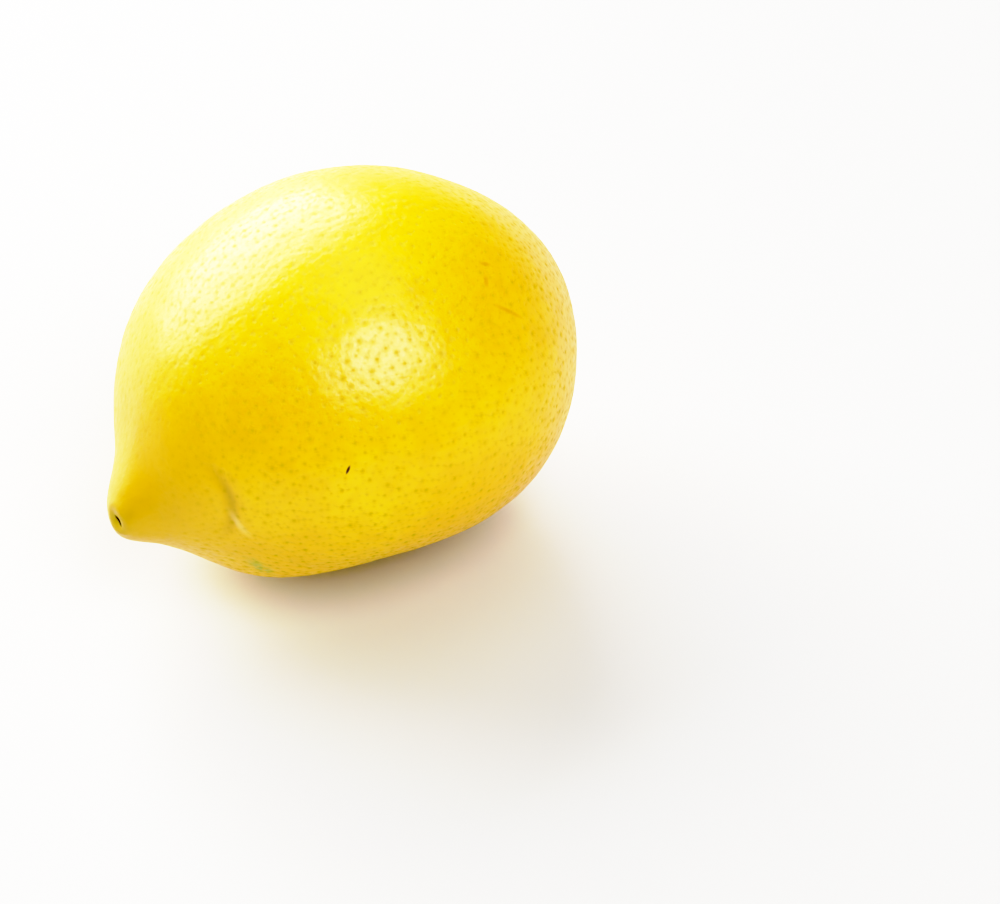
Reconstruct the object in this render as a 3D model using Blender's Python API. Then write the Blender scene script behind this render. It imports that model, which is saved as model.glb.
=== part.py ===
"""A whole lemon, lying on its side on the small flat spot under its belly.

Units are metres and +Z is up. X runs along the fruit, from the nipple at -X to the stem end at +X. The origin
is on the surface that the fruit lies on, below the middle of the fruit's bounding box.

The fruit is one closed body. A cube is divided and rounded into a ball of unit directions, with one pole at
the nipple and the other at the stem, and each direction is then carried to the surface of the fruit.
"""
import math

import bmesh
import bpy
from mathutils import Vector

MM = 0.001

# The body: an egg-like ellipsoid, a little fuller towards the nipple.
HALF_WIDTH = 33.6 * MM
HALF_HEIGHT = 31.6 * MM
HALF_LENGTH = 36.3 * MM
NIPPLE_FULLNESS = 0.4 * MM

# The nipple: a broad cone with a blunt tip on it, both bent to one side and down.
CONE_HEIGHT = 5.4 * MM
CONE_SPREAD = 0.80
TIP_HEIGHT = 4.2 * MM
TIP_SPREAD = 0.20
TIP_BLUNTNESS = 2.8
BEND_SIDE = -8.3 * MM
BEND_DOWN = -6.5 * MM
BEND_SPREAD = 0.44

# The style's scar: a small pit in the nipple's tip.
SCAR_DEPTH = 0.9 * MM
SCAR_SPREAD = 0.045

# The stem end: a low collar, a shallow dish in it, and the button that the stalk leaves in the dish.
COLLAR_HEIGHT = 1.8 * MM
COLLAR_SPREAD = 0.32
DISH_DEPTH = 1.9 * MM
DISH_SPREAD = 0.17
BUTTON_HEIGHT = 1.6 * MM
BUTTON_SPREAD = 0.105
BUTTON_BLUNTNESS = 6.0

# Uneven growth: (direction from the middle, height, spread), positive outwards.
SWELLINGS = [
    (Vector((-0.62, -0.42, -0.66)), 1.80 * MM, 0.30),
    (Vector((-0.05, -0.70, -0.70)), -2.20 * MM, 0.50),
    (Vector((0.93, 0.25, 0.25)), 1.50 * MM, 0.38),
]

# The flat spot that the fruit lies on.
FLAT_DEPTH = 0.50 * MM

# The mesh: cells along each edge of the cube, and how much finer they are at the two poles.
CELLS = 24
POLE_FINENESS = 0.5

RIND_COLOUR = (0.86, 0.60, 0.012, 1.0)
RIND_ROUGHNESS = 0.36


def falloff(angle, spread, power=2.0):
    """1 at the middle of a feature, and smoothly 0 a few spreads away from it."""
    return math.exp(-((angle / spread) ** power))


def cube_to_direction(corner):
    """A point of the cube's surface as a unit direction, with evenly wide cells."""
    warped = Vector([math.tan(value * math.pi / 4.0) for value in corner])
    return warped.normalized()


def finer_at_poles(direction):
    """The same direction, drawn towards the nearer pole of the X axis."""
    from_nipple = math.acos(max(-1.0, min(1.0, -direction.x)))
    drawn = from_nipple - POLE_FINENESS * math.sin(2.0 * from_nipple) / 2.0
    around = Vector((0.0, direction.y, direction.z))
    if around.length < 1e-9:
        return direction
    around.normalize()
    return Vector((-math.cos(drawn), 0.0, 0.0)) + around * math.sin(drawn)


def swelling(direction):
    """How far the body swells along a direction."""
    total = 0.0
    for centre, height, spread in SWELLINGS:
        total += height * falloff(direction.angle(centre), spread)
    return total


def lemon_point(direction):
    """The point of the fruit's surface that belongs to a unit direction."""
    from_nipple = math.acos(max(-1.0, min(1.0, -direction.x)))
    from_stem = math.pi - from_nipple

    length = HALF_LENGTH - NIPPLE_FULLNESS * direction.x
    point = Vector((length * direction.x, HALF_WIDTH * direction.y, HALF_HEIGHT * direction.z))
    point *= 1.0 + swelling(direction) / HALF_HEIGHT

    point.x -= CONE_HEIGHT * falloff(from_nipple, CONE_SPREAD)
    point.x -= TIP_HEIGHT * falloff(from_nipple, TIP_SPREAD, TIP_BLUNTNESS)
    point.x += SCAR_DEPTH * falloff(from_nipple, SCAR_SPREAD)
    bend = falloff(from_nipple, BEND_SPREAD)
    point.y += BEND_SIDE * bend
    point.z += BEND_DOWN * bend

    point.x += COLLAR_HEIGHT * falloff(from_stem, COLLAR_SPREAD)
    point.x -= DISH_DEPTH * falloff(from_stem, DISH_SPREAD)
    point.x += BUTTON_HEIGHT * falloff(from_stem, BUTTON_SPREAD, BUTTON_BLUNTNESS)
    return point


def cut_flat_spot(mesh):
    """Slice the lowest part of the body off level, and close the cut with one flat face."""
    lowest = min(vertex.co.z for vertex in mesh.verts)
    cut = bmesh.ops.bisect_plane(
        mesh,
        geom=mesh.verts[:] + mesh.edges[:] + mesh.faces[:],
        plane_co=(0.0, 0.0, lowest + FLAT_DEPTH),
        plane_no=(0.0, 0.0, -1.0),
        clear_outer=True,
    )
    rim = [item for item in cut["geom_cut"] if isinstance(item, bmesh.types.BMEdge)]
    bmesh.ops.edgeloop_fill(mesh, edges=rim)


def move_to_origin(mesh):
    """Put the middle of the bounding box over the origin, and the flat spot on the ground."""
    xs = [vertex.co.x for vertex in mesh.verts]
    ys = [vertex.co.y for vertex in mesh.verts]
    zs = [vertex.co.z for vertex in mesh.verts]
    offset = Vector((-(min(xs) + max(xs)) / 2.0, -(min(ys) + max(ys)) / 2.0, -min(zs)))
    bmesh.ops.translate(mesh, verts=mesh.verts[:], vec=offset)


def make_rind_material():
    material = bpy.data.materials.new("rind")
    material.use_nodes = True
    shader = material.node_tree.nodes["Principled BSDF"]
    shader.inputs["Base Color"].default_value = RIND_COLOUR
    shader.inputs["Roughness"].default_value = RIND_ROUGHNESS
    shader.inputs["Metallic"].default_value = 0.0
    return material


def make_lemon():
    mesh = bmesh.new()
    bmesh.ops.create_cube(mesh, size=2.0)
    bmesh.ops.subdivide_edges(mesh, edges=mesh.edges[:], cuts=CELLS - 1, use_grid_fill=True)
    for vertex in mesh.verts:
        vertex.co = lemon_point(finer_at_poles(cube_to_direction(vertex.co)))
    cut_flat_spot(mesh)
    move_to_origin(mesh)
    bmesh.ops.recalc_face_normals(mesh, faces=mesh.faces[:])

    data = bpy.data.meshes.new("lemon")
    mesh.to_mesh(data)
    mesh.free()
    data.shade_smooth()
    data.materials.append(make_rind_material())
    lemon = bpy.data.objects.new("lemon", data)
    bpy.context.scene.collection.objects.link(lemon)
    return lemon


for leftover in list(bpy.data.objects):
    bpy.data.objects.remove(leftover, do_unlink=True)
make_lemon()
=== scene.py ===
"""The looks of a whole lemon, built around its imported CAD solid.

The rind is one fine mesh of its own. A cube is divided and rounded into a ball of unit directions, with one
pole at the nipple and the other at the stem, and each direction is carried to the fruit's surface by the same
rule as in the CAD model. The oil glands' pits, the pebbled swells, the fold at the foot of the nipple and the
scar in its tip are then pressed into it.

Lengths on the fruit are in millimetres until they are placed in the frame, which is in metres. A place on the
skin is a direction from the body's middle, so spreads and reaches along the skin are angles, in radians. The
nipple's pole is at -X, the stem's at +X, and up is +Z.
"""

import math
from collections import namedtuple

import bmesh
import bpy
import numpy as np
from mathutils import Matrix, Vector, kdtree, noise


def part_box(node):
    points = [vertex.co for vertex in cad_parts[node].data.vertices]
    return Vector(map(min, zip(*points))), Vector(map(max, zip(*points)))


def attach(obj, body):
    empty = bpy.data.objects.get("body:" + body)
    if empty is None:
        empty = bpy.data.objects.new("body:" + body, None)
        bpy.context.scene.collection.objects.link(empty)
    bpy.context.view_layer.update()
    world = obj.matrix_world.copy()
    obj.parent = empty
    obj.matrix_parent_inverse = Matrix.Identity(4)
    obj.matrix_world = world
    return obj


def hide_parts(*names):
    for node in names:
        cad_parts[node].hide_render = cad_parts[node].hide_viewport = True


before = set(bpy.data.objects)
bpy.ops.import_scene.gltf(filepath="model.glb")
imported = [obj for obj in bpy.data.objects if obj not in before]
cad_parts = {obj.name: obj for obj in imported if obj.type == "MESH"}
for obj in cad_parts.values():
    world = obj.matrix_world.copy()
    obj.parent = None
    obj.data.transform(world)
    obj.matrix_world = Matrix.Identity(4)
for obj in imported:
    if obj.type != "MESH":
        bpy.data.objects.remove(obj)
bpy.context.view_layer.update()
fruit_low, fruit_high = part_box("lemon")

MM = 0.001
NIPPLE_POLE = (-1, 0, 0)

# The fruit's shape, in millimetres and radians, as in the CAD model.
HALF_WIDTH = 33.6
HALF_HEIGHT = 31.6
HALF_LENGTH = 36.3
NIPPLE_FULLNESS = 0.4
CONE_HEIGHT, CONE_SPREAD = 5.4, 0.80
TIP_HEIGHT, TIP_SPREAD, TIP_BLUNTNESS = 4.2, 0.20, 2.8
BEND_SIDE, BEND_DOWN, BEND_SPREAD = -8.3, -6.5, 0.44
COLLAR_HEIGHT, COLLAR_SPREAD = 1.8, 0.32
DISH_DEPTH, DISH_SPREAD = 1.9, 0.17
FLAT_DEPTH = 0.50
# Uneven growth: (direction from the middle, height, spread), positive outwards.
SWELLINGS = [
    ((-0.62, -0.42, -0.66), 1.80, 0.30),
    ((-0.05, -0.70, -0.70), -2.20, 0.50),
    ((0.93, 0.25, 0.25), 1.50, 0.38),
]

# The mesh: cells along each edge of the cube, and how much finer they are at the two poles.
CELLS = 128
POLE_FINENESS = 0.22
# The margin round each island of the UV map, as a share of the map.
MAP_MARGIN = 0.006
# How gently the belly turns into the flat spot, in millimetres.
FLAT_BLEND = 0.10

# The oil glands' pits, in millimetres, but a kind's depth is a share of PIT_DEPTH. Each pit's spacing, radius
# and depth are its kind's, times a random share between the two that are given.
SEED = 11
LARGE_PITS = {"spacing": 1.60, "radius": 0.38, "depth": 1.0}
SMALL_PITS = {"spacing": 1.00, "radius": 0.26, "depth": 0.6}
PIT_DEPTH = 0.065
SPACING_SHARE = (0.9, 1.3)
RADIUS_SHARE = (0.8, 1.25)
DEPTH_SHARE = (0.5, 1.0)
# Where the pits are shallower: how much, how far from the pole, and how bluntly that ends.
NIPPLE_SMOOTHING, NIPPLE_SMOOTH_SPREAD, NIPPLE_SMOOTH_BLUNTNESS = 0.75, 0.55, 3.0
STEM_SMOOTHING, STEM_SMOOTH_SPREAD, STEM_SMOOTH_BLUNTNESS = 0.60, 0.14, 4.0

# The pebbled swells: (waves per millimetre, height), and what is left of them where there are no pits.
SWELLS = [(0.16, 0.10), (0.34, 0.05), (0.70, 0.018)]
LEAST_SWELL = 0.25
NOISE_REACH = 50.0

# The fold at the foot of the nipple: a furrow with a ridge beside it. It lies FOLD_AWAY radians from the
# nipple and runs round the long axis, where 0 is +Y. On both sides of FOLD_BOW_MIDDLE it bows to the nipple.
FOLD_DEPTH, FOLD_SPREAD = 0.34, 0.030
FOLD_AWAY, FOLD_BOW, FOLD_BOW_MIDDLE = 0.665, 0.35, 3.08
FOLD_MIDDLE, FOLD_REACH, FOLD_BLUNTNESS = 3.03, 0.33, 3.0
RIDGE_HEIGHT, RIDGE_SPREAD, RIDGE_PAST_FOLD = 0.22, 0.045, 0.08

# The style's scar: an oval pit along the slit in the tip, with a lip round it.
SCAR_DEPTH, SCAR_SPREAD, SCAR_NARROWING = 0.50, 0.020, 0.6
LIP_HEIGHT, LIP_SPREAD, LIP_AWAY = 0.25, 0.018, 0.048

# The regions that tint the rind: (reach in radians from the pole, bluntness). The tip's olive and the stem's
# green are their own colours, the nipple's gold is its own colour near the tip and painted shade on its wide
# flank, and the stem side's orange is painted warm shade.
NIPPLE_REGION = (0.75, 2.5)
TIP_REGION = (0.13, 2.5)
STEM_REGION = (0.16, 3.0)
# Where the painted warm shade in orange starts towards the stem side, and how wide its ramp is.
STEM_SIDE_SHADE_START, STEM_SIDE_SHADE_WIDTH = 1.3, 0.9

# The calyx, in millimetres: blunt lobes round the scar of the stalk. Its underside is a share of its radius.
CALYX_RINGS, CALYX_SIDES = 22, 120
CALYX_RADIUS, CALYX_DEPTH, CALYX_UNDERSIDE = 3.35, 0.6, 0.9
STALK_SCAR_RADIUS = 2.4
LOBES, LOBE_TURN = 5.0, 0.6
# Its edge: (waves round it, height, turn).
EDGE_WAVES = [(LOBES, 0.55, LOBE_TURN), (2.0, 0.18, 1.0), (11.0, 0.12, 0.0)]
WRINKLE_HEIGHT, WRINKLES_ROUND, WRINKLES_OUTWARDS = 0.10, 4.0, 3.0
# Its profile, with places as shares of its radius: the stalk scar's rim and cup, the slope, the edge's curl.
RIM_HEIGHT, RIM_AT, RIM_WIDTH = 1.05, 0.36, 0.12
CUP_HEIGHT, CUP_REACH = 0.45, 0.28
SLOPE_HEIGHT, EDGE_HEIGHT = 0.75, 0.1
CURL_HEIGHT, CURL_CHANGE = 0.35, 0.6

# The fine relief that the rind's material adds, in millimetres.
GRAIN_HEIGHT, DIMPLE_HEIGHT, PIT_CORE_DEPTH = 0.015, 0.04, 0.023
# How far the true way to a pit is trusted, in that pit's radii.
PIT_LEEWAY = 0.5


def rgb(red, green, blue):
    return (red, green, blue, 1.0)


BRIGHT_YELLOW = rgb(0.90, 0.58, 0.002)
DEEP_YELLOW = rgb(0.87, 0.525, 0.001)
# Painted warm shade: the orange that the stem side is tinted with.
PAINTED_SHADE_ORANGE = rgb(0.87, 0.445, 0.001)
# Gold: a tone that comes at random, and the nipple's own colour; on the nipple's wide flank it is also
# painted shade.
GOLD = rgb(0.55, 0.355, 0.001)
PIT_YELLOW = rgb(0.49, 0.385, 0.001)
# Painted shade in the fold's furrow.
FOLD_PAINTED_SHADE = rgb(0.40, 0.255, 0.001)
TIP_OLIVE = rgb(0.42, 0.36, 0.02)
# The style scar's dark brown, deepened to near black as painted shade in its crevice.
SCAR_BROWN_AND_SHADE = rgb(0.03, 0.015, 0.005)
LEAF_GREEN = rgb(0.36, 0.42, 0.05)
SPECK_BROWN = rgb(0.07, 0.03, 0.01)
FRECKLE_BROWN = rgb(0.45, 0.24, 0.01)
# A painted highlight along the fold's ridge.
RIDGE_PAINTED_HIGHLIGHT = rgb(0.95, 0.75, 0.25)
CALYX_DARK = rgb(0.16, 0.12, 0.045)
CALYX_LIGHT = rgb(0.30, 0.25, 0.10)
STALK_SCAR_TAN = rgb(0.40, 0.30, 0.16)
FLOOR_GREY = rgb(0.74, 0.74, 0.74)
WHITE = rgb(1.0, 1.0, 1.0)

# Strokes of colour on the skin. Each end is (degrees from the nipple's pole, degrees round the long axis from
# +Y). The half-width is in millimetres, the softness a share of it, and the strength the colour's share.
Mark = namedtuple("Mark", "start end half_width softness strength colour")
MARKS = {
    "green_blush": Mark((46.0, 215.5), (50.0, 222.7), 1.20, 0.9, 1.00, LEAF_GREEN),
    "speck": Mark((66.6, 162.4), (66.1, 164.1), 0.22, 0.4, 1.00, SPECK_BROWN),
    "first_freckle": Mark((116.8, 116.8), (118.5, 117.2), 0.35, 0.7, 0.45, FRECKLE_BROWN),
    "second_freckle": Mark((115.5, 121.7), (115.0, 123.3), 0.35, 0.7, 0.45, FRECKLE_BROWN),
    "graze": Mark((116.0, 131.3), (121.3, 135.7), 0.35, 0.7, 0.45, FRECKLE_BROWN),
    # Painted highlight: a cream stroke along the fold's ridge.
    "fold_ridge_painted_highlight": Mark((38.3, 180.7), (41.5, 191.0), 0.55, 0.9, 0.40, RIDGE_PAINTED_HIGHLIGHT),
    # The slit: the scar's own dark brown, and painted shade in its crevice.
    "slit": Mark((3.2, 123.4), (4.2, 159.4), 0.29, 0.4, 1.00, SCAR_BROWN_AND_SHADE),
}


def unit(vectors):
    return vectors / np.maximum(np.linalg.norm(vectors, axis=-1, keepdims=True), 1e-12)


def falloff(angle, spread, power=2.0):
    """1 at the middle of a feature, and smoothly 0 a few spreads away from it."""
    return np.exp(-((angle / spread) ** power))


def angles_from(directions, centre):
    return np.arccos(np.clip(directions @ unit(np.array(centre)), -1.0, 1.0))


def direction_at(place):
    """The unit direction of a place that is given as two angles in degrees."""
    from_nipple, round_axis = np.radians(place)
    across = math.sin(from_nipple)
    return np.array([-math.cos(from_nipple), across * math.cos(round_axis), across * math.sin(round_axis)])


def make_tree(points):
    tree = kdtree.KDTree(len(points))
    for index, point in enumerate(points):
        tree.insert(point, index)
    tree.balance()
    return tree


# The rind's mesh.


def fruit_surface(directions):
    """The points of the smooth fruit that belong to unit directions, from the body's middle."""
    from_nipple = angles_from(directions, NIPPLE_POLE)
    from_stem = math.pi - from_nipple
    x, y, z = directions.T

    swelling = sum(
        height * falloff(angles_from(directions, centre), spread) for centre, height, spread in SWELLINGS
    )
    swell = 1.0 + swelling / HALF_HEIGHT
    length = HALF_LENGTH - NIPPLE_FULLNESS * x
    bend = falloff(from_nipple, BEND_SPREAD)

    along = length * x * swell
    along -= CONE_HEIGHT * falloff(from_nipple, CONE_SPREAD)
    along -= TIP_HEIGHT * falloff(from_nipple, TIP_SPREAD, TIP_BLUNTNESS)
    along += COLLAR_HEIGHT * falloff(from_stem, COLLAR_SPREAD)
    along -= DISH_DEPTH * falloff(from_stem, DISH_SPREAD)
    across = HALF_WIDTH * y * swell + BEND_SIDE * bend
    upward = HALF_HEIGHT * z * swell + BEND_DOWN * bend
    return np.stack([along, across, upward], 1)


def fruit_normals(directions, smooth):
    """The smooth fruit's outward normals, from the surface a small step away on two sides."""
    step = 1e-3
    side_a = unit(np.cross(directions, (0.0, 0.3, 1.0)))
    side_b = np.cross(directions, side_a)
    tangent_a = fruit_surface(unit(directions + step * side_a)) - smooth
    tangent_b = fruit_surface(unit(directions + step * side_b)) - smooth
    normals = unit(np.cross(tangent_a, tangent_b))
    return normals * np.sign((normals * directions).sum(1))[:, None]


def ball_of_cells():
    """A cube divided into square cells, as a mesh, and its corner points."""
    grid = bmesh.new()
    bmesh.ops.create_cube(grid, size=2.0)
    bmesh.ops.subdivide_edges(grid, edges=grid.edges[:], cuts=CELLS - 1, use_grid_fill=True)
    mesh = bpy.data.meshes.new("lemon_rind")
    grid.to_mesh(mesh)
    grid.free()
    corners = np.empty(len(mesh.vertices) * 3)
    mesh.vertices.foreach_get("co", corners)
    return mesh, corners.reshape(-1, 3)


def cube_to_directions(corners):
    """Points of the cube as unit directions with evenly wide cells, a little finer at the poles."""
    even = unit(np.tan(corners * math.pi / 4.0))
    from_nipple = angles_from(even, NIPPLE_POLE)
    drawn = from_nipple - POLE_FINENESS * np.sin(2.0 * from_nipple) / 2.0
    around = unit(even * (0, 1, 1)) * np.sin(drawn)[:, None]
    return np.column_stack([-np.cos(drawn), around[:, 1], around[:, 2]])


def lay_out_map(mesh, corners):
    """A UV map with one island for each of the cube's six sides, three across and two up."""
    layer = mesh.uv_layers.new(name="OFBake")
    faces = np.empty(len(mesh.polygons) * 4, int)
    mesh.loops.foreach_get("vertex_index", faces)
    at = corners[faces].reshape(-1, 4, 3)
    middle = at.mean(1)
    axis = np.abs(middle).argmax(1)
    positive = np.take_along_axis(middle, axis[:, None], 1)[:, 0] > 0

    def coordinate(which):
        columns = np.broadcast_to((which % 3)[:, None, None], (len(at), 4, 1))
        return np.take_along_axis(at, columns, 2)[:, :, 0]

    inside = 1.0 - 2.0 * MAP_MARGIN * np.array([3.0, 2.0])
    u = (axis[:, None] + 0.5 + coordinate(axis + 1) / 2.0 * inside[0]) / 3.0
    v = (positive[:, None] + 0.5 + coordinate(axis + 2) / 2.0 * inside[1]) / 2.0
    layer.uv.foreach_set("vector", np.stack([u, v], 2).ravel())


def scatter(points, tree, spacing, random, taken):
    """Indices of points in random order, each about a spacing or more from those chosen and those taken."""
    free = np.ones(len(points), bool)
    for place in taken:
        for _, index, _ in tree.find_range(points[place], spacing):
            free[index] = False
    chosen = []
    for place in random.permutation(len(points)):
        if not free[place]:
            continue
        chosen.append(place)
        for _, index, _ in tree.find_range(points[place], spacing * random.uniform(*SPACING_SHARE)):
            free[index] = False
    return chosen


def sow_pits(points, random, strength):
    """For each point, the way to its nearest pit's middle in that pit's radii, and how deep that pit is."""
    tree = make_tree(points)
    large = scatter(points, tree, LARGE_PITS["spacing"], random, [])
    small = scatter(points, tree, SMALL_PITS["spacing"], random, large)
    middles, radii, depths = [], [], []
    for places, kind in ((large, LARGE_PITS), (small, SMALL_PITS)):
        for place in places:
            middles.append(points[place])
            radii.append(kind["radius"] * random.uniform(*RADIUS_SHARE))
            depths.append(kind["depth"] * random.uniform(*DEPTH_SHARE) * strength[place])
    pit_tree = make_tree(middles)
    nearest = np.array([pit_tree.find(point)[1] for point in points])
    way = (np.array(middles)[nearest] - points) / np.array(radii)[nearest][:, None]
    return way, np.array(depths)[nearest]


def swells(points, random):
    """The pebbled rise and fall of the skin at each point."""
    total = np.zeros(len(points))
    for waves, height in SWELLS:
        shift = Vector(random.uniform(-NOISE_REACH, NOISE_REACH, 3))
        total += [height * noise.noise(Vector(point) * waves + shift) for point in points]
    return total


def fold(directions):
    """How deep the fold at the foot of the nipple is at each direction. Its ridge is negative."""
    from_nipple = angles_from(directions, NIPPLE_POLE)
    round_axis = np.arctan2(directions[:, 2], directions[:, 1]) % (2.0 * math.pi)
    path = FOLD_AWAY - FOLD_BOW * (round_axis - FOLD_BOW_MIDDLE) ** 2
    along = falloff(np.abs(round_axis - FOLD_MIDDLE), FOLD_REACH, FOLD_BLUNTNESS)
    furrow = FOLD_DEPTH * falloff(np.abs(from_nipple - path), FOLD_SPREAD)
    ridge = RIDGE_HEIGHT * falloff(np.abs(from_nipple - path - RIDGE_PAST_FOLD), RIDGE_SPREAD)
    return (furrow - ridge) * along


def tip_scar(directions):
    """How deep the style's scar in the nipple's tip is at each direction. Its lip is negative."""
    start, end = direction_at(MARKS["slit"].start), direction_at(MARKS["slit"].end)
    lengthways = unit(end - start)
    away = directions - (start + end) / 2.0
    along = away @ lengthways
    across = np.linalg.norm(away - along[:, None] * lengthways, axis=1)
    off = np.hypot(along * SCAR_NARROWING, across)
    pit = SCAR_DEPTH * falloff(off, SCAR_SPREAD)
    lip = LIP_HEIGHT * falloff(np.abs(off - LIP_AWAY), LIP_SPREAD)
    nipple_side = directions[:, 0] < 0.0
    return (pit - lip) * nipple_side


def press_flat(points, smooth):
    """Holds the points above the flat spot's level, with a small blend at its edge."""
    level = smooth[:, 2].min() + FLAT_DEPTH
    above = points[:, 2] - level
    points[:, 2] = level + (above + np.sqrt(above**2 + FLAT_BLEND**2)) / 2.0


def store(mesh, name, values):
    """Keeps a number or a vector at each point of the mesh, for its material."""
    if values.ndim == 1:
        attribute = mesh.attributes.new(name, "FLOAT", "POINT")
        attribute.data.foreach_set("value", values.astype(np.float32))
    else:
        attribute = mesh.attributes.new(name, "FLOAT_VECTOR", "POINT")
        attribute.data.foreach_set("vector", values.astype(np.float32).ravel())


def store_regions(mesh, directions):
    """Keeps how far each point belongs to each region that tints the rind; the fold and the stem side are
    painted shade, and the nipple is partly.
    """
    from_nipple = angles_from(directions, NIPPLE_POLE)
    # The nipple's region: its own gold near the tip, and painted shade on its wide flank.
    store(mesh, "nipple", falloff(from_nipple, *NIPPLE_REGION))
    # Painted shade: how deep in the fold's furrow each point is, for darkening it.
    store(mesh, "fold", np.clip(fold(directions) / FOLD_DEPTH, 0.0, 1.0))
    # Painted warm shade: how far towards the stem side each point is tinted orange.
    store(mesh, "stem_side_painted_shade", np.clip((from_nipple - STEM_SIDE_SHADE_START) / STEM_SIDE_SHADE_WIDTH, 0.0, 1.0))
    store(mesh, "tip", falloff(from_nipple, *TIP_REGION))
    store(mesh, "stem", falloff(math.pi - from_nipple, *STEM_REGION))


def skin_at(directions, placed, place):
    """The point of the finished skin at a place, between its few nearest corners."""
    nearest = np.argsort(-(directions @ direction_at(place)))[:4]
    return Vector(placed[nearest].mean(0))


def make_rind():
    """The rind, the body's middle, a millimetre's length in the frame, and the two ends of each mark."""
    random = np.random.default_rng(SEED)
    mesh, corners = ball_of_cells()
    lay_out_map(mesh, corners)
    directions = cube_to_directions(corners)
    smooth = fruit_surface(directions)

    from_nipple = angles_from(directions, NIPPLE_POLE)
    strength = 1.0 - NIPPLE_SMOOTHING * falloff(from_nipple, NIPPLE_SMOOTH_SPREAD, NIPPLE_SMOOTH_BLUNTNESS)
    strength -= STEM_SMOOTHING * falloff(math.pi - from_nipple, STEM_SMOOTH_SPREAD, STEM_SMOOTH_BLUNTNESS)
    pit_way, pit_depth = sow_pits(smooth, random, strength)
    pit_away = np.linalg.norm(pit_way, axis=1)

    rise = swells(smooth, random) * (LEAST_SWELL + (1.0 - LEAST_SWELL) * strength)
    rise -= PIT_DEPTH * pit_depth * np.exp(-(pit_away**2))
    rise -= fold(directions) + tip_scar(directions)
    points = smooth + fruit_normals(directions, smooth) * rise[:, None]
    press_flat(points, smooth)

    low, high = smooth.min(0), smooth.max(0)
    unit_length = (fruit_high.x - fruit_low.x) / (high[0] - low[0])
    base = np.array([(low[0] + high[0]) / 2.0, (low[1] + high[1]) / 2.0, points[:, 2].min()])
    home = np.array([(fruit_low.x + fruit_high.x) / 2.0, (fruit_low.y + fruit_high.y) / 2.0, fruit_low.z])
    placed = (points - base) * unit_length + home
    mesh.vertices.foreach_set("co", placed.ravel())
    store(mesh, "pit_way", pit_way)
    store(mesh, "pit_away", pit_away)
    store(mesh, "pit_depth", pit_depth)
    store_regions(mesh, directions)
    mesh.shade_smooth()
    mesh.update()

    rind = bpy.data.objects.new("lemon_rind", mesh)
    bpy.context.scene.collection.objects.link(rind)
    body_middle = Vector(home - base * unit_length)
    ends = {
        name: (skin_at(directions, placed, mark.start), skin_at(directions, placed, mark.end))
        for name, mark in MARKS.items()
    }
    return rind, body_middle, unit_length, ends


# The calyx's mesh.


def calyx_height(share, angle):
    """The calyx's height above the dish, at a share of its radius and an angle round it."""
    rim = RIM_HEIGHT * math.exp(-(((share - RIM_AT) / RIM_WIDTH) ** 2))
    cup = CUP_HEIGHT * math.exp(-((share / CUP_REACH) ** 4))
    slope = SLOPE_HEIGHT * (1.0 - share) + EDGE_HEIGHT
    curl = CURL_HEIGHT * share**4 * (1.0 + CURL_CHANGE * math.cos(LOBES * angle + LOBE_TURN))
    return rim + cup + slope + curl


def calyx_points():
    """The calyx's points, from the body's middle: its rings from the centre outwards, then its underside."""
    turn = np.linspace(0.0, 2.0 * math.pi, CALYX_SIDES, endpoint=False)
    radius = CALYX_RADIUS
    for waves, height, start in EDGE_WAVES:
        radius = radius + height * np.cos(waves * turn + start)
    dish = fruit_surface(np.array([[1.0, 0.0, 0.0]]))[0][0]

    points = []
    for share in np.arange(CALYX_RINGS + 1) / CALYX_RINGS:
        for reach, angle in zip(radius * share, turn):
            y, z = math.cos(angle), math.sin(angle)
            where = Vector((y * WRINKLES_ROUND, z * WRINKLES_ROUND, share * WRINKLES_OUTWARDS))
            wrinkle = WRINKLE_HEIGHT * share * noise.noise(where)
            points.append((dish + calyx_height(share, angle) + wrinkle, reach * y, reach * z))
    for reach, angle in zip(radius * CALYX_UNDERSIDE, turn):
        points.append((dish - CALYX_DEPTH, reach * math.cos(angle), reach * math.sin(angle)))
    return points


def calyx_faces():
    faces = []
    for ring in range(CALYX_RINGS):
        for index in range(CALYX_SIDES):
            after = (index + 1) % CALYX_SIDES
            inner, outer = ring * CALYX_SIDES, (ring + 1) * CALYX_SIDES
            faces.append((inner + index, outer + index, outer + after, inner + after))
    edge, under = CALYX_RINGS * CALYX_SIDES, (CALYX_RINGS + 1) * CALYX_SIDES
    for index in range(CALYX_SIDES):
        after = (index + 1) % CALYX_SIDES
        faces.append((edge + index, under + index, under + after, edge + after))
    faces.append(tuple(under + index for index in reversed(range(CALYX_SIDES))))
    return faces


def make_calyx(middle, unit_length):
    """The dried button in the stem end's dish: five blunt lobes round the round scar of the stalk."""
    mesh = bpy.data.meshes.new("lemon_calyx")
    points = [tuple(middle + Vector(point) * unit_length) for point in calyx_points()]
    mesh.from_pydata(points, [], calyx_faces())
    welded = bmesh.new()
    welded.from_mesh(mesh)
    bmesh.ops.remove_doubles(welded, verts=welded.verts[:], dist=1e-6)
    bmesh.ops.recalc_face_normals(welded, faces=welded.faces[:])
    welded.to_mesh(mesh)
    welded.free()
    from_axis = np.array([math.hypot(v.co.y - middle.y, v.co.z - middle.z) for v in mesh.vertices])
    store(mesh, "scar", 1.0 - np.clip(from_axis / unit_length / STALK_SCAR_RADIUS, 0.0, 1.0))
    mesh.shade_smooth()
    calyx = bpy.data.objects.new("lemon_calyx", mesh)
    bpy.context.scene.collection.objects.link(calyx)
    return calyx


# Materials.


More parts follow.
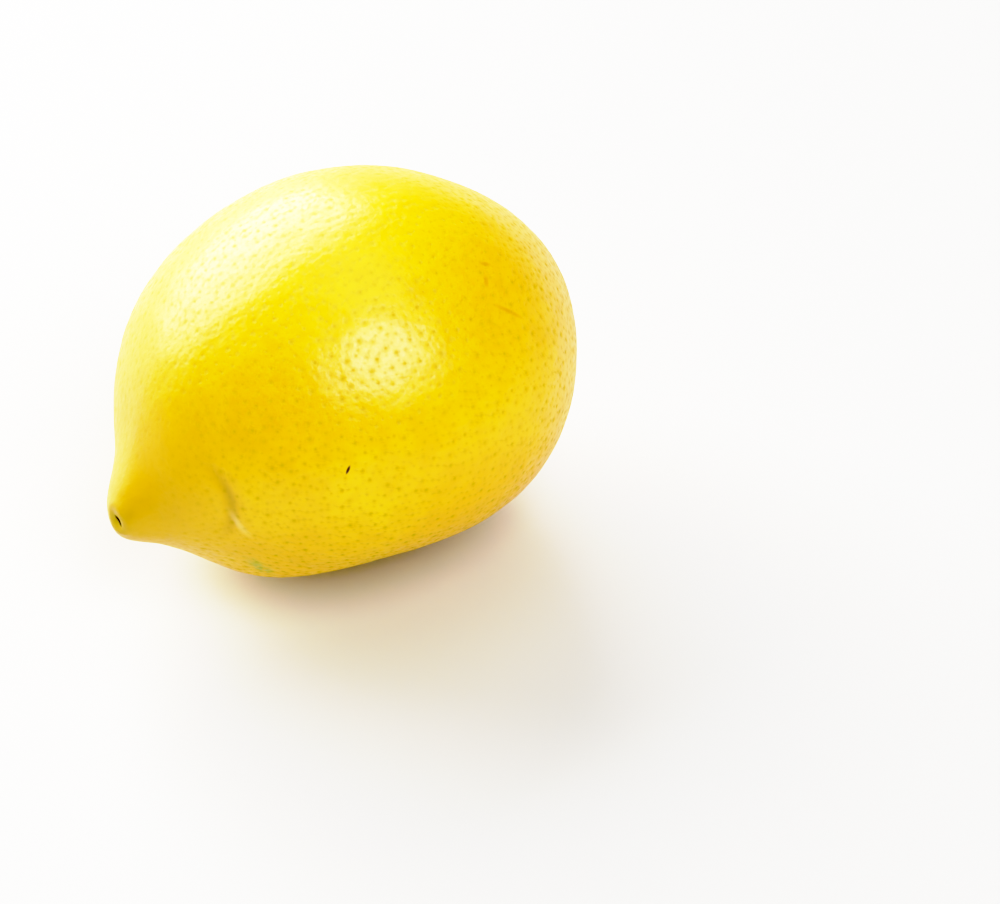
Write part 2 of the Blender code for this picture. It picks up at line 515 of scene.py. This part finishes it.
class Nodes:
    """A new material's node tree, with short ways to add the nodes that the looks need."""

    def __init__(self, name):
        self.material = bpy.data.materials.new(name)
        self.material.use_nodes = True
        self.tree = self.material.node_tree
        self.shader = self.tree.nodes["Principled BSDF"]

    def add(self, kind, **settings):
        node = self.tree.nodes.new(kind)
        for key, value in settings.items():
            setattr(node, key, value)
        return node

    def put(self, socket, value):
        """Links a socket, or sets a number or colour."""
        if isinstance(value, bpy.types.NodeSocket):
            self.tree.links.new(value, socket)
        else:
            socket.default_value = value

    def place(self):
        return self.add("ShaderNodeTexCoord").outputs["Object"]

    def attribute(self, name, output="Fac"):
        return self.add("ShaderNodeAttribute", attribute_name=name).outputs[output]

    def math(self, operation, first, second=0.0, clamp=False):
        node = self.add("ShaderNodeMath", operation=operation, use_clamp=clamp)
        self.put(node.inputs[0], first)
        self.put(node.inputs[1], second)
        return node.outputs[0]

    def times(self, first, second, clamp=False):
        return self.math("MULTIPLY", first, second, clamp)

    def noise(self, scale, detail=2.0, roughness=0.5):
        node = self.add("ShaderNodeTexNoise")
        self.put(node.inputs["Vector"], self.place())
        self.put(node.inputs["Scale"], scale)
        self.put(node.inputs["Detail"], detail)
        self.put(node.inputs["Roughness"], roughness)
        return node.outputs["Fac"]

    def vector(self, operation, first, second=None, scale=None):
        """A vector operation: its vector, or its number where the operation gives one."""
        node = self.add("ShaderNodeVectorMath", operation=operation)
        self.put(node.inputs[0], first)
        if second is not None:
            self.put(node.inputs[1], second)
        if scale is not None:
            self.put(node.inputs["Scale"], scale)
        return node.outputs["Value" if operation in ("LENGTH", "DOT_PRODUCT") else "Vector"]

    def ramp(self, value, low, high, to_low=0.0, to_high=1.0):
        node = self.add("ShaderNodeMapRange", interpolation_type="SMOOTHSTEP")
        names = ("Value", "From Min", "From Max", "To Min", "To Max")
        for key, number in zip(names, (value, low, high, to_low, to_high)):
            self.put(node.inputs[key], number)
        return node.outputs["Result"]

    def mix(self, amount, first, second):
        node = self.add("ShaderNodeMix", data_type="RGBA")
        self.put(node.inputs["Factor"], amount)
        self.put(node.inputs[6], first)
        self.put(node.inputs[7], second)
        return node.outputs[2]

    def bump(self, height, distance, strength=1.0):
        node = self.add("ShaderNodeBump")
        self.put(node.inputs["Strength"], strength)
        self.put(node.inputs["Distance"], distance)
        self.put(node.inputs["Height"], height)
        self.put(self.shader.inputs["Normal"], node.outputs["Normal"])

    def pits(self):
        """How deep the pits are: round bowls that are sharper than the mesh's cells.

        The way to the nearest pit is true inside a cell whose corners share that pit. Where they don't, it
        can come out too short. The distance stays long there, so less a leeway it is the least that is used.
        """
        near = self.vector("LENGTH", self.attribute("pit_way", "Vector"))
        between = self.math("SUBTRACT", self.attribute("pit_away"), PIT_LEEWAY)
        off = self.math("MAXIMUM", near, between)
        bowl = self.math("EXPONENT", self.times(self.times(off, off), -1.0))
        return self.times(bowl, self.attribute("pit_depth"))

    def streak(self, start, end, half_width, softness):
        """1 along a stroke from one point to another, and smoothly 0 outside it. A spot is a short stroke."""
        centre, half = (start + end) / 2.0, (end - start) / 2.0
        direction = half.normalized()
        away = self.vector("SUBTRACT", self.place(), centre)
        along = self.vector("DOT_PRODUCT", away, direction)
        squeeze = 1.0 / (half.length + half_width) - 1.0 / half_width
        lengthways = self.vector("SCALE", direction, scale=self.times(along, squeeze))
        crossways = self.vector("SCALE", away, scale=1.0 / half_width)
        off = self.vector("LENGTH", self.vector("ADD", crossways, lengthways))
        return self.ramp(off, 1.0 - softness, 1.0 + softness, 1.0, 0.0)


def rind_colour(n, pit, ends):
    """The rind's colour, and where the dark slit is.

    Broad shifts of yellow come first, with painted warm shade in orange towards the stem side, then the
    deeper pits, the golden nipple whose gold is also painted shade on its wide flank, painted shade in the
    fold, its olive tip and the marks, among them a painted highlight along the fold's ridge and painted shade
    in the slit.
    """
    colour = n.mix(n.ramp(n.noise(38.0), 0.35, 0.65), BRIGHT_YELLOW, DEEP_YELLOW)
    # Painted warm shade: the rind turns orange towards the stem side.
    colour = n.mix(n.times(n.attribute("stem_side_painted_shade"), 0.5), colour, PAINTED_SHADE_ORANGE)
    cloudy = n.ramp(n.noise(260.0, 3.0, 0.6), 0.40, 0.70, to_high=0.2)
    colour = n.mix(cloudy, colour, GOLD)
    colour = n.mix(n.times(pit, 0.85, clamp=True), colour, PIT_YELLOW)
    # The nipple's gold is its own colour near the tip and painted shade on its wide flank; the fold's brown
    # is painted shade.
    for region, strength, tint in (
        ("nipple", 0.8, GOLD),
        ("fold", 0.62, FOLD_PAINTED_SHADE),
        ("tip", 0.5, TIP_OLIVE),
        ("stem", 0.35, LEAF_GREEN),
    ):
        colour = n.mix(n.times(n.attribute(region), strength), colour, tint)

    strokes = {
        name: n.streak(*ends[name], mark.half_width * MM, mark.softness) for name, mark in MARKS.items()
    }
    patches = n.ramp(n.noise(700.0), 0.35, 0.6, to_low=0.25, to_high=0.8)
    strokes["green_blush"] = n.times(strokes["green_blush"], patches)
    for name, mark in MARKS.items():
        colour = n.mix(n.times(strokes[name], mark.strength), colour, mark.colour)
    return colour, strokes["slit"]


def rind_material(ends):
    """Waxy yellow rind, duller in its pits and towards the nipple, with a fine grain."""
    n = Nodes("lemon_rind")
    pit = n.pits()
    colour, slit = rind_colour(n, pit, ends)
    n.put(n.shader.inputs["Base Color"], colour)

    roughness = n.ramp(n.noise(900.0), 0.3, 0.7, to_low=0.28, to_high=0.38)
    for duller, amount in ((pit, 0.38), (n.attribute("nipple"), 0.06), (slit, 1.0)):
        roughness = n.math("ADD", roughness, n.times(duller, amount), clamp=True)
    n.put(n.shader.inputs["Roughness"], roughness)

    grain = n.times(n.noise(2400.0, 2.0, 0.6), GRAIN_HEIGHT)
    dimples = n.times(n.noise(1000.0, 1.0), DIMPLE_HEIGHT)
    relief = n.math("SUBTRACT", n.math("ADD", grain, dimples), n.times(pit, PIT_CORE_DEPTH))
    n.bump(relief, distance=MM)

    n.shader.inputs["IOR"].default_value = 1.55
    n.shader.inputs["Specular IOR Level"].default_value = 0.88
    n.shader.inputs["Subsurface Weight"].default_value = 0.12
    n.shader.inputs["Subsurface Radius"].default_value = (1.0, 0.6, 0.1)
    n.shader.inputs["Subsurface Scale"].default_value = 0.002
    return n.material


def calyx_material():
    """Dry, fibrous brown-green, paler at the scar of the stalk."""
    n = Nodes("lemon_calyx")
    colour = n.mix(n.ramp(n.noise(500.0, 4.0, 0.65), 0.35, 0.65), CALYX_DARK, CALYX_LIGHT)
    colour = n.mix(n.ramp(n.attribute("scar"), 0.3, 0.7), colour, STALK_SCAR_TAN)
    n.put(n.shader.inputs["Base Color"], colour)
    roughness = n.ramp(n.noise(900.0), 0.3, 0.7, to_low=0.65, to_high=0.85)
    n.put(n.shader.inputs["Roughness"], roughness)
    n.bump(n.noise(2200.0, 4.0, 0.7), distance=0.1 * MM, strength=0.6)
    return n.material


# The studio, in metres and degrees.


def make_floor():
    half = 1.5
    corners = [(-half, -half, 0), (half, -half, 0), (half, half, 0), (-half, half, 0)]
    mesh = bpy.data.meshes.new("floor")
    mesh.from_pydata(corners, [], [(0, 1, 2, 3)])
    floor = bpy.data.objects.new("floor", mesh)
    bpy.context.scene.collection.objects.link(floor)
    n = Nodes("floor")
    n.shader.inputs["Base Color"].default_value = FLOOR_GREY
    n.shader.inputs["Roughness"].default_value = 0.4
    mesh.materials.append(n.material)


def towards(azimuth, elevation):
    """The unit vector from the fruit towards a place, with azimuth 0 at -Y, in degrees."""
    a, e = math.radians(azimuth), math.radians(elevation)
    return Vector((math.sin(a) * math.cos(e), -math.cos(a) * math.cos(e), math.sin(e)))


def make_light(name, aim, place, size, radiance, colour, shape="RECTANGLE"):
    """A soft box that faces the fruit, as bright as a surface of that radiance.

    Its place is (azimuth, elevation, distance) and its size is (width, height).
    """
    azimuth, elevation, distance = place
    width, height = size
    light = bpy.data.lights.new(name, "AREA")
    light.shape = shape
    light.size = width
    light.size_y = height
    area = width * height * (math.pi / 4.0 if shape == "DISK" else 1.0)
    light.energy = radiance * area * math.pi
    light.color = colour
    lamp = bpy.data.objects.new(name, light)
    direction = towards(azimuth, elevation)
    lamp.location = aim + direction * distance
    lamp.rotation_euler = direction.to_track_quat("Z", "Y").to_euler()
    bpy.context.scene.collection.objects.link(lamp)


def make_camera(middle):
    """The fruit lies left of and above the picture's middle, seen from above on the nipple's side."""
    azimuth, elevation, distance = -27.85, 42.0, 0.6
    left, above = 23.5 * MM, 13.4 * MM
    back = towards(azimuth, elevation)
    right = Vector((math.cos(math.radians(azimuth)), math.sin(math.radians(azimuth)), 0.0))
    up = back.cross(right)
    data = bpy.data.cameras.new("camera")
    data.sensor_width = 36.0
    data.lens = 133.9
    camera = bpy.data.objects.new("camera", data)
    camera.location = middle + back * distance + right * left - up * above
    camera.rotation_euler = back.to_track_quat("Z", "Y").to_euler()
    bpy.context.scene.collection.objects.link(camera)
    bpy.context.scene.camera = camera


def develop(view):
    """A bright studio print's tones: near blacks drop to black, and bright tones roll off to white.

    Each tone is (light that is seen, tone that is printed).
    """
    white = 1.8
    dark_tones = [(0.08, 0.002), (0.20, 0.13), (0.5, 0.49)]
    bright_tones = [(0.85, 0.86), (1.1, 0.935), (1.35, 0.975)]
    combined_curve = 3
    view.view_transform = "Standard"
    view.use_curve_mapping = True
    view.curve_mapping.white_level = (white, white, white)
    tones = view.curve_mapping.curves[combined_curve]
    for seen, printed in dark_tones + bright_tones:
        tones.points.new(seen / white, printed)
    view.curve_mapping.update()


def make_backdrop():
    """A pale wall that shows just above the floor's far edge, under a dimmer room.

    Where it fades and ends is the upward part of a direction, from 0 at the horizon to 1 overhead.
    """
    wall_fades, wall_ends = 0.08, 0.22
    wall_brightness, room_brightness = 0.80, 0.35
    world = bpy.data.worlds.new("studio")
    world.use_nodes = True
    nodes, links = world.node_tree.nodes, world.node_tree.links
    upward = nodes.new("ShaderNodeSeparateXYZ")
    links.new(nodes.new("ShaderNodeTexCoord").outputs["Generated"], upward.inputs[0])
    brightness = nodes.new("ShaderNodeMapRange")
    brightness.interpolation_type = "SMOOTHSTEP"
    links.new(upward.outputs["Z"], brightness.inputs["Value"])
    brightness.inputs["From Min"].default_value = wall_fades
    brightness.inputs["From Max"].default_value = wall_ends
    brightness.inputs["To Min"].default_value = wall_brightness
    brightness.inputs["To Max"].default_value = room_brightness
    nodes["Background"].inputs["Color"].default_value = WHITE
    links.new(brightness.outputs["Result"], nodes["Background"].inputs["Strength"])
    bpy.context.scene.world = world


def make_studio(aim):
    """A large window-like box behind, a round one above the front and a weak one overhead."""
    make_floor()
    make_light("window_box", aim, (-168.0, 30.0, 1.3), (1.6, 1.1), 6.7, (1.0, 0.98, 0.95))
    make_light("round_box", aim, (6.0, 52.0, 1.1), (0.74, 0.74), 6.2, (1.0, 0.98, 0.94), "DISK")
    make_light("overhead_box", aim, (110.0, 78.0, 1.2), (0.80, 0.80), 1.1, (1.0, 0.98, 0.96), "DISK")
    make_backdrop()
    develop(bpy.context.scene.view_settings)


rind, middle, unit_length, mark_ends = make_rind()
rind.data.materials.append(rind_material(mark_ends))
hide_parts("lemon")
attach(rind, "root")

calyx = make_calyx(middle, unit_length)
calyx.data.materials.append(calyx_material())
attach(calyx, "root")

make_camera(middle)
make_studio(middle)
